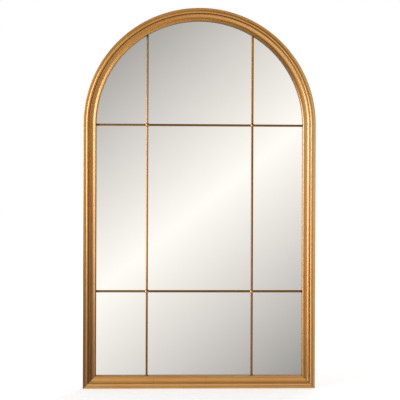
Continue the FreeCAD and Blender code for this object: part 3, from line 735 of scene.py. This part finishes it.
def stations(start, stop, marks):
    """Even steps along a member, with finer ones about each mark."""
    even = np.linspace(start, stop, 2 + int((stop - start) / STATION_STEP))
    offsets = np.linspace(-SOCKET_REACH, SOCKET_REACH, STATIONS_AT_MARK)
    near = np.add.outer(np.array(marks), offsets).ravel()
    return np.unique(np.clip(np.concatenate([even, near]), start, stop).round(6))


def bare_share(section, sizes):
    """1 on the raw back and in the rabbet, falling to 0 a few millimetres up the outer wall."""
    wall = ramp(section.height, GOLD_THINS, GOLD_ENDS)
    behind_face = section.inset > section.rabbet - MILLIMETRE
    return np.maximum(wall, behind_face & (section.height < sizes.rabbet_depth + FINE_STEP))


def closeness(points, spots, reach):
    """1 at the nearest spot, falling evenly to 0 at that reach."""
    gaps = np.linalg.norm(points[..., None, :] - np.array(spots), axis=-1).min(axis=-1)
    return ramp(gaps, reach, 0.0)


def full_turn(count):
    """Even angles once round."""
    return np.linspace(0.0, 2 * math.pi, count, endpoint=False)


def grid_points(x, y, z):
    """A grid of points from its coordinates."""
    return np.stack(np.broadcast_arrays(x, y, z), axis=-1)


def grid_index(points):
    """The number of each point in a grid, and the number of the next point in its row."""
    index = np.arange(points.shape[0] * points.shape[1]).reshape(points.shape[:2])
    return index, np.roll(index, -1, axis=1)


def grid_mesh(name, points, sides, caps=()):
    """A mesh of a grid's points, of four-sided faces given by their corners, and of caps."""
    faces = np.stack(sides, axis=-1).reshape(-1, 4).tolist()
    mesh = bpy.data.meshes.new(name)
    mesh.from_pydata(points.reshape(-1, 3).tolist(), [], [*faces, *caps])
    return mesh


def swept_mesh(name, points, traits):
    """A closed tube through a grid of points, stations by section points, with a flat cap at each
    end. Each trait becomes a value at the mesh's points."""
    index, ahead = grid_index(points)
    sides = [index[:-1], ahead[:-1], ahead[1:], index[1:]]
    first, second, third = (points.reshape(-1, 3)[corner.ravel()] for corner in sides[:3])
    outwards = 1 if np.einsum("ij,ij->", first, np.cross(second, third)) > 0 else -1
    caps = [index[0][::-outwards].tolist(), index[-1][::outwards].tolist()]
    mesh = grid_mesh(name, points, sides[::outwards], caps)
    smooth = np.ones(len(mesh.polygons), dtype=bool)
    smooth[-2:] = False
    mesh.polygons.foreach_set("use_smooth", smooth)
    ends = np.empty(2 * len(mesh.edges), dtype=np.int32)
    mesh.edges.foreach_get("vertices", ends)
    rings = ends.reshape(-1, 2) // index.shape[1]
    rim = (rings[:, 0] == rings[:, 1]) & ((rings[:, 0] == 0) | (rings[:, 0] == index.shape[0] - 1))
    mesh.attributes.new("sharp_edge", "BOOLEAN", "EDGE").data.foreach_set("value", rim)
    for trait, values in traits.items():
        attribute = mesh.attributes.new(trait, "FLOAT", "POINT")
        spread = np.broadcast_to(values, index.shape).astype(np.float32)
        attribute.data.foreach_set("value", spread.ravel())
    mesh.update()
    return mesh


def frame_lengths(sizes):
    """Half the width, the height of the arch's centre, and the way up, over the arch and down."""
    half = sizes.overall_width / 2
    spring = sizes.overall_height - half
    return half, spring, 2 * spring + math.pi * half


def bar_ends(sizes, section):
    """How far out the level bars reach, and how high the upright ones."""
    half, spring, _ = frame_lengths(sizes)
    sight = half - section.face
    return sight, spring + math.sqrt(sight**2 - sizes.bar_offset**2)


def arch_surface(sizes, section):
    """The arch head: up the left leg, half round the arch's centre, down the right leg. The radius
    is half the width less the inset, and the legs carry on straight from the arch's two ends.
    Painted shade darkens the left shoulder's band and the right shoulder's slopes, painted light
    makes the right shoulder's cove and the right end paler, and more painted shade darkens the
    hollows towards the top."""
    half, spring, whole = frame_lengths(sizes)
    bar_turn = math.acos(sizes.bar_offset / (half - section.face))
    marks = [sizes.upper_bar, spring + half * bar_turn]
    marks += [whole - mark for mark in marks]
    along = stations(sizes.joint, whole - sizes.joint, marks)[:, None]
    turn = np.clip((along - spring) / half, 0.0, math.pi)
    beyond = along - spring - half * turn
    radius = half - section.inset[None, :]
    depths = section.inset / MILLIMETRE
    inner = ramp(section.inset, section.face - SLOPE_START, section.face - SLOPE_FULL)
    slopes = (inner + bell(depths, *BEAD_FLANK)) * ramp(np.sin(turn), 0.0, 0.5)
    left = bell(turn, *LEFT_SHOULDER) * LEFT_BAND * bell(depths, *BAND)
    right = RIGHT_SLOPES * slopes + RIGHT_COVE * bell(depths, *COVE_TOP)
    right = bell(turn, *RIGHT_SHOULDER) * right
    right_end = ramp(-np.cos(turn), 0.0, 1.0) ** 3 * (1.0 - slopes)
    return SimpleNamespace(
        x=-radius * np.cos(turn),
        z=spring + radius * np.sin(turn) + beyond * np.cos(turn),
        along=along,
        seam=0.0,
        toned=left + right - right_end,
        # Painted shade: the hollows get darker towards the top of the arch
        wash=1.0 + ARCH_TOP_SHADE * np.sin(turn),
    )


def stile_surface(sizes, section, side):
    """An upright: heights run from the mitre, where height equals inset, to the joint. Painted
    shade darkens the left one towards its foot. The right one gets painted light at its top and
    painted shade towards its foot."""
    half, _, whole = frame_lengths(sizes)
    at_sight = stations(section.face, sizes.joint, [section.face, sizes.lower_bar])[:, None]
    share = (at_sight - section.face) / (sizes.joint - section.face)
    inset = section.inset[None, :]
    z = inset + (sizes.joint - inset) * share
    lowness = ramp(z, sizes.joint, 0.0)
    band = STILE_BAND * bell(inset / MILLIMETRE, *BAND)
    left = (LEFT_FOOT + band) * lowness
    right = RIGHT_FOOT * lowness + RIGHT_TOP - band
    return SimpleNamespace(
        x=side * (half - inset),
        z=z,
        along=z if side < 0 else whole - z,
        seam=bell(z, inset, SEAM_WIDTH),
        toned=left if side < 0 else right,
        wash=1.0,
    )


def rail_surface(sizes, section):
    """The bottom rail: lengths run between the two mitres, where half the length equals half the
    width less the inset. Painted shade darkens the lip, and painted light makes the bead and the
    cove paler."""
    half = sizes.overall_width / 2
    sight = half - section.face
    marks = [-sight, -sizes.bar_offset, sizes.bar_offset, sight]
    share = stations(-sight, sight, marks)[:, None] / sight
    inset = section.inset[None, :]
    x = (half - inset) * share
    return SimpleNamespace(
        x=x,
        z=inset,
        along=x + 2 * sizes.overall_width,
        seam=bell(np.abs(x), half - inset, SEAM_WIDTH),
        toned=sum(tone * bell(inset / MILLIMETRE, *part) for tone, *part in RAIL_SHADING),
        wash=1.0,
    )


def socket_places(sizes, section):
    """Where the bars enter the frame."""
    sight, top = bar_ends(sizes, section)
    spots = []
    for side in (-1, 1):
        spots += [(side * sight, height) for height in (sizes.upper_bar, sizes.lower_bar)]
        spots += [(side * sizes.bar_offset, height) for height in (section.face, top)]
    return [(x, sizes.bar_place, z) for x, z in spots]


def add_object(name, data):
    """Put a new object into the scene."""
    made = bpy.data.objects.new(name, data)
    bpy.context.scene.collection.objects.link(made)
    return made


def dress(node, mesh, material):
    """Put a piece on the frame in place of its CAD node."""
    piece = add_object(mesh.name, mesh)
    mesh.materials.append(material)
    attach(piece, "frame")
    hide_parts(node)


def make_frame_member(node, surface, sizes, section, material):
    """Build a frame member over its CAD node."""
    points = grid_points(surface.x, sizes.back - section.height, surface.z)
    traits = {
        "along": surface.along,
        "across": section.across,
        "hollow": section.hollow * surface.wash,
        "arris": section.arris,
        "bare": bare_share(section, sizes),
        "seam": surface.seam,
        # Painted light and shade on the leaf, with painted shade on the outer edge
        "toned": surface.toned + EDGE_SHADE * bell(section.inset / MILLIMETRE, *EDGE),
        # Painted shadow where the bars enter the frame
        "socket": closeness(points, socket_places(sizes, section), SOCKET_REACH),
    }
    dress(node, swept_mesh(f"gilt_{node}", points, traits), material)


def crossing_surface(sizes, node):
    """A flattened bead at a crossing: an ellipsoid, as wide as it is high and as deep as its CAD
    node. It is bored along Z for the upright bar, and cut off flat where it is little deeper than
    the bore."""
    low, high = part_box(node)
    bar_low, bar_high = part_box("vertical_bar_right")
    half = sizes.crossing_width / 2
    depth = (high.y - low.y) / 2
    bore = (bar_high.x - bar_low.x) / 2
    end = math.acos(BEAD_END * bore / depth)
    rise = np.linspace(-end, end, BEAD_STEPS)
    sideways = np.append(half * np.cos(rise), [bore, bore])
    forwards = np.append(depth * np.cos(rise), [bore, bore])
    upwards = half * np.sin(np.append(rise, [end, -end]))
    turn = full_turn(BEAD_TURNS)[:, None]
    points = grid_points(sideways * np.cos(turn), forwards * np.sin(turn), upwards)
    return points + np.array((low + high) / 2)


def ring_mesh(name, points):
    """A closed ring through a grid of points, turns by section points, with sharp rims."""
    index, ahead = grid_index(points)
    sides = [index, np.roll(index, -1, axis=0), np.roll(ahead, -1, axis=0), ahead]
    mesh = grid_mesh(name, points, sides)
    mesh.shade_smooth()
    mesh.set_sharp_from_angle(angle=RIM_ANGLE)
    return mesh


# Stage

WHITE = (1.0, 1.0, 1.0)
WARM_WHITE = (1.0, 0.966, 0.918)
# Lamps: place and size, in metres
LAMPS = {
    "key": ((-2.55, -1.75, 0.8), (2.1, 2.2)),
    "fill": ((2.9, -1.6, 0.75), (1.4, 2.4)),
    "back": ((1.2, 3.0, 2.2), (2.0, 2.0)),
}
FLOOR_RADII = np.geomspace(0.02, 30.0, 24)
FLOOR_SPOKES = 48
# How much the floor is lifted near the foot and far off, and the distances between which it changes
FLOOR_LIFT = (0.46, 0.58)
FLOOR_LIFT_REACH = (0.5, 4.0)
WALL_ANGLES = np.radians(np.linspace(0.2, 96.0, 40))
WALL_SPOKES = 64
# Change of the walls' brightness per metre to the right, upwards and to the upper right
WALL_RIGHT, WALL_UP, WALL_CORNER = -0.022, -0.042, -0.016
WALL_DARKEST = 0.05
GLOW_LEVEL = 1.075
# Distances from the middle of a light on the walls where it ends and where it is full
GLOW_REACH = (3.0, 2.0)
LIGHT_WIDTH, LIGHT_HEIGHT = (4.0, 0.7), (3.2, 0.4)
PATCH_WIDTH, PATCH_HEIGHT = (1.5, 0.2), (1.5, 0.3)
PATCH_X, PATCH_Z, PATCH_LEVEL = 1.4, 0.4, 0.3


def disc_mesh(name, points):
    """A sheet through a grid of points, rings by spokes, closed round and at its middle."""
    index, ahead = grid_index(points)
    sides = [index[:-1], index[1:], ahead[1:], ahead[:-1]]
    return grid_mesh(name, points, sides, [index[0].tolist()])


def make_floor(stage):
    """A pale floor: rings of points round the mirror's foot. To the camera it is lifted to white,
    less near the foot, where the lamps reach it, so that the mirror's shadow stays."""
    radius = FLOOR_RADII[:, None]
    spoke = full_turn(FLOOR_SPOKES)
    points = grid_points(radius * np.cos(spoke), radius * np.sin(spoke), CAD_BOX[0].z)
    floor = add_object("floor", disc_mesh("floor", points))
    material, graph = new_material("pale_floor")
    diffuse = graph.node("ShaderNodeBsdfDiffuse", {"Color": stage.floor}).outputs[0]
    x, y, _ = graph.apart(graph.place())
    lift = graph.span(graph.reach(x, y), *FLOOR_LIFT_REACH, *FLOOR_LIFT)
    glow = graph.node("ShaderNodeEmission", {"Color": WHITE, "Strength": lift}).outputs[0]
    lifted = graph.node("ShaderNodeAddShader", {0: diffuse, 1: glow}).outputs[0]
    seen = graph.node("ShaderNodeLightPath").outputs["Is Camera Ray"]
    shown = graph.node("ShaderNodeMixShader", {0: seen, 1: diffuse, 2: lifted}).outputs[0]
    graph.node("ShaderNodeOutputMaterial", {"Surface": shown})
    floor.data.materials.append(material)
    floor.visible_glossy = False


def make_studio(stage):
    """The grey walls that the metal and the glass mirror: a cap of a sphere in front of the mirror,
    seen only in reflections. They darken upwards and to the right, with a pale patch at the right
    and a soft light at the left. Sharp reflections, which are the glass's, show a bright diagonal
    in place of the wall, fading evenly to both sides."""
    polar = WALL_ANGLES[:, None]
    turn = full_turn(WALL_SPOKES)
    points = stage.studio_radius * grid_points(
        np.sin(polar) * np.cos(turn), -np.cos(polar), np.sin(polar) * np.sin(turn)
    )
    points[..., 2] += SIZE.z / 2
    studio = add_object("studio_walls", disc_mesh("studio_walls", points))
    spread = 1.0 - stage.studio_radius / stage.eye[1]
    centre_x = stage.eye[0] * (1.0 - spread)
    centre_z = stage.eye[2] + (stage.glow_height - stage.eye[2]) * spread
    material, graph = new_material("studio_walls")
    x, y, z = graph.apart(graph.place())
    right = graph.math("SUBTRACT", x, centre_x)
    up = graph.math("SUBTRACT", z, centre_z)
    slope = stage.glow_angle
    across = graph.total(0.0, (right, math.sin(slope)), (up, -math.cos(slope)))
    fade = graph.math("DIVIDE", graph.gap(across), stage.glow_reach * spread)
    glow = graph.math("SUBTRACT", GLOW_LEVEL, fade)
    sharp = graph.node("ShaderNodeLightPath").outputs["Is Singular Ray"]
    inside = graph.times(graph.span(graph.reach(right, up), *GLOW_REACH), sharp)
    corner = graph.times(graph.math("MAXIMUM", x, 0.0), graph.math("MAXIMUM", up, 0.0))
    wall = graph.total(stage.studio_grey, (x, WALL_RIGHT), (z, WALL_UP), (corner, WALL_CORNER))
    wall = graph.math("MAXIMUM", wall, WALL_DARKEST)
    patch = graph.times(
        graph.span(graph.gap(x, PATCH_X), *PATCH_WIDTH),
        graph.span(graph.gap(z, PATCH_Z), *PATCH_HEIGHT),
    )
    aim = stage.light_angle
    sideways = graph.total(0.0, (x, math.cos(aim)), (y, -math.sin(aim)))
    light = graph.times(
        graph.span(graph.gap(sideways), *LIGHT_WIDTH),
        graph.span(graph.gap(z, stage.light_height), *LIGHT_HEIGHT),
    )
    light = graph.times(light, graph.math("LESS_THAN", x, 0.0))
    light = graph.times(light, graph.math("SUBTRACT", 1.0, sharp))
    wall = graph.total(wall, (patch, PATCH_LEVEL), (light, stage.light_level))
    level = graph.total(wall, (inside, graph.math("SUBTRACT", glow, wall)))
    emission = graph.node("ShaderNodeEmission", {"Color": WARM_WHITE, "Strength": level})
    graph.node("ShaderNodeOutputMaterial", {"Surface": emission.outputs[0]})
    studio.data.materials.append(material)
    for ray in ("camera", "diffuse", "transmission", "volume_scatter", "shadow"):
        setattr(studio, f"visible_{ray}", False)


def make_world(stage):
    """White where it is seen or mirrored, and an even light for the rest."""
    world = bpy.data.worlds.new("white_surroundings")
    world.use_nodes = True
    world.node_tree.nodes.clear()
    graph = Graph(world.node_tree)
    path = graph.node("ShaderNodeLightPath").outputs
    seen = graph.math("MAXIMUM", path["Is Camera Ray"], path["Is Glossy Ray"])
    seen = graph.math("MAXIMUM", seen, path["Is Transmission Ray"])
    strength = graph.span(seen, 0.0, 1.0, stage.ambient, 1.0)
    background = graph.node("ShaderNodeBackground", {"Color": WHITE, "Strength": strength})
    graph.node("ShaderNodeOutputWorld", {"Surface": background.outputs[0]})
    bpy.context.scene.world = world


def make_lamp(name, place, size, power):
    """A soft rectangular light that faces the mirror's middle."""
    data = bpy.data.lights.new(name, "AREA")
    data.shape = "RECTANGLE"
    data.size, data.size_y = size
    data.energy = power
    lamp = add_object(name, data)
    lamp.location = place
    aim = Vector((0.0, 0.0, SIZE.z / 2)) - lamp.location
    lamp.rotation_euler = aim.to_track_quat("-Z", "Y").to_euler()
    lamp.visible_glossy = False


def make_camera(stage):
    """The camera at the photograph's view: it looks along +Y, turned by yaw, pitch and roll."""
    data = bpy.data.cameras.new("camera")
    data.lens = stage.lens
    camera = add_object("camera", data)
    view = Matrix.Translation(stage.eye)
    for turn, axis in ((-stage.yaw, "Z"), (math.pi / 2 + stage.pitch, "X"), (stage.roll, "Z")):
        view = view @ Matrix.Rotation(turn, 4, axis)
    camera.matrix_world = view
    bpy.context.scene.camera = camera


# Operators

# Shadows on the bars where they cross and at the sight edge: depth and reach
CROSSING_SHADOW = (0.25, 11 * MILLIMETRE)
SIGHT_SHADOW = (0.9, 11 * MILLIMETRE)


class ARCHEDMIRROR_OT_frame(bpy.types.Operator):
    """Build the gilt moulding of the arch head, stiles and bottom rail"""

    bl_idname = "arched_mirror.frame"
    bl_label = "Gilt frame"

    def execute(self, context):
        settings = context.scene.arched_mirror
        sizes = settings.moulding
        section = moulding_section(sizes)
        material = gilt_frame_material(shared_effects(), settings.finish)
        surfaces = {
            "arch_head": arch_surface(sizes, section),
            "left_stile": stile_surface(sizes, section, -1),
            "right_stile": stile_surface(sizes, section, 1),
            "bottom_rail": rail_surface(sizes, section),
        }
        for node, surface in surfaces.items():
            make_frame_member(node, surface, sizes, section, material)
        return {"FINISHED"}


class ARCHEDMIRROR_OT_bars(bpy.types.Operator):
    """Gild the bars and the beads at their crossings"""

    bl_idname = "arched_mirror.bars"
    bl_label = "Bars and beads"

    def execute(self, context):
        settings = context.scene.arched_mirror
        sizes, finish, effects = settings.moulding, settings.finish, shared_effects()
        section = moulding_section(sizes)
        sight, top = bar_ends(sizes, section)

        def gilt(name, gold, lengthwise, *shadows, polish=BAR_POLISH):
            return gilt_bar_material(name, effects, finish, gold, lengthwise, shadows, polish)

        heights = (sizes.upper_bar, sizes.lower_bar, section.face, top)
        upright = [(height, *CROSSING_SHADOW) for height in heights]
        level = [(sizes.bar_offset, *CROSSING_SHADOW), (sight, *SIGHT_SHADOW)]
        # Painted shade along the upright bars: height, depth and reach
        foot_shade = (0.0, 0.5, 0.62 * sizes.upper_bar)
        top_shade = (top, 0.3, top - sizes.upper_bar)
        under_crossing_shade = (0.92 * sizes.upper_bar, 0.2, 0.18 * sizes.upper_bar)
        # Painted light and shade on one gold finish: the left bars lighter, the others darker, the
        # left level bars between
        between = (finish.lit_bar_gold + finish.shaded_bar_gold) / 2
        left = gilt("gilt_left_bar", finish.lit_bar_gold, 2, *upright, foot_shade, top_shade)
        right = gilt("gilt_right_bar", finish.shaded_bar_gold, 2, *upright, under_crossing_shade)
        level_left = gilt("gilt_level_bar_left", between, 0, *level)
        level_other = gilt("gilt_level_bar", finish.shaded_bar_gold, 0, *level)
        bead = gilt("gilt_bead", finish.bead_gold, 2, polish=BEAD_POLISH)
        paint_nodes(left, "vertical_bar_left")
        paint_nodes(right, "vertical_bar_right")
        for height in ("upper", "lower"):
            paint_nodes(level_left, f"{height}_bar_left")
            paint_nodes(level_other, f"{height}_bar_middle", f"{height}_bar_right")
            for node in (f"crossing_bead_{height}_left", f"crossing_bead_{height}_right"):
                mesh = ring_mesh(f"gilt_{node}", crossing_surface(sizes, node))
                dress(node, mesh, bead)
        return {"FINISHED"}


class ARCHEDMIRROR_OT_glass(bpy.types.Operator):
    """Silver the mirror glass"""

    bl_idname = "arched_mirror.glass"
    bl_label = "Mirror glass"

    def execute(self, context):
        finish = context.scene.arched_mirror.finish
        low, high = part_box("mirror_pane")
        paint_nodes(mirror_material(finish, low.y, high.y), "mirror_pane")
        return {"FINISHED"}


class ARCHEDMIRROR_OT_backing(bpy.types.Operator):
    """Finish the backing board"""

    bl_idname = "arched_mirror.backing"
    bl_label = "Backing board"

    def execute(self, context):
        finish = context.scene.arched_mirror.finish
        paint_nodes(board_material(shared_effects(), finish), "backing_panel")
        return {"FINISHED"}


class ARCHEDMIRROR_OT_joinery(bpy.types.Operator):
    """Finish the dowels and keys inside the joints"""

    bl_idname = "arched_mirror.joinery"
    bl_label = "Dowels and keys"

    def execute(self, context):
        finish = context.scene.arched_mirror.finish
        beech = beech_material(shared_effects(), finish)
        paint_nodes(beech, "joint_dowels", "mitre_key_left", "mitre_key_right")
        return {"FINISHED"}


class ARCHEDMIRROR_OT_fittings(bpy.types.Operator):
    """Plate the hangers, turn buttons and screws"""

    bl_idname = "arched_mirror.fittings"
    bl_label = "Back fittings"

    def execute(self, context):
        finish = context.scene.arched_mirror.finish
        zinc = zinc_material(shared_effects(), finish)
        fittings = [name for name in NODES if name.startswith(("hanger_", "turn_button_"))]
        paint_nodes(zinc, *fittings)
        return {"FINISHED"}


class ARCHEDMIRROR_OT_rubber(bpy.types.Operator):
    """Finish the wall pads and setting blocks"""

    bl_idname = "arched_mirror.rubber"
    bl_label = "Rubber pads and blocks"

    def execute(self, context):
        finish = context.scene.arched_mirror.finish
        rubber = rubber_material(shared_effects(), finish)
        pads = [name for name in NODES if name.startswith("wall_bumper_")]
        paint_nodes(rubber, "setting_blocks", *pads)
        return {"FINISHED"}


class ARCHEDMIRROR_OT_stage(bpy.types.Operator):
    """Set the floor, surroundings, lights and camera"""

    bl_idname = "arched_mirror.stage"
    bl_label = "Stage"

    def execute(self, context):
        stage = context.scene.arched_mirror.stage
        context.scene.view_settings.view_transform = "Standard"
        make_floor(stage)
        make_studio(stage)
        make_world(stage)
        for name, (place, size) in LAMPS.items():
            make_lamp(f"{name}_light", place, size, getattr(stage, f"{name}_power"))
        make_camera(stage)
        return {"FINISHED"}


class VIEW3D_PT_arched_mirror(bpy.types.Panel):
    """Buttons for each group of pieces, in the order of making"""

    bl_label = "Arched Mirror"
    bl_space_type = "VIEW_3D"
    bl_region_type = "UI"
    bl_category = "Arched Mirror"

    def draw(self, context):
        for operator in OPERATORS:
            self.layout.operator(operator.bl_idname)


OPERATORS = (
    ARCHEDMIRROR_OT_frame,
    ARCHEDMIRROR_OT_bars,
    ARCHEDMIRROR_OT_glass,
    ARCHEDMIRROR_OT_backing,
    ARCHEDMIRROR_OT_joinery,
    ARCHEDMIRROR_OT_fittings,
    ARCHEDMIRROR_OT_rubber,
    ARCHEDMIRROR_OT_stage,
)
GROUPS = (ArchedMirrorMoulding, ArchedMirrorFinish, ArchedMirrorStage, ArchedMirrorSettings)
CLASSES = (*GROUPS, *OPERATORS, VIEW3D_PT_arched_mirror)


def register():
    for item in CLASSES:
        bpy.utils.register_class(item)
    bpy.types.Scene.arched_mirror = PointerProperty(type=ArchedMirrorSettings)


def unregister():
    del bpy.types.Scene.arched_mirror
    for item in reversed(CLASSES):
        bpy.utils.unregister_class(item)


def main():
    register()
    for operator in ("frame", "bars", "glass", "backing", "joinery", "fittings", "rubber", "stage"):
        getattr(bpy.ops.arched_mirror, operator)()


if __name__ == "__main__":
    main()
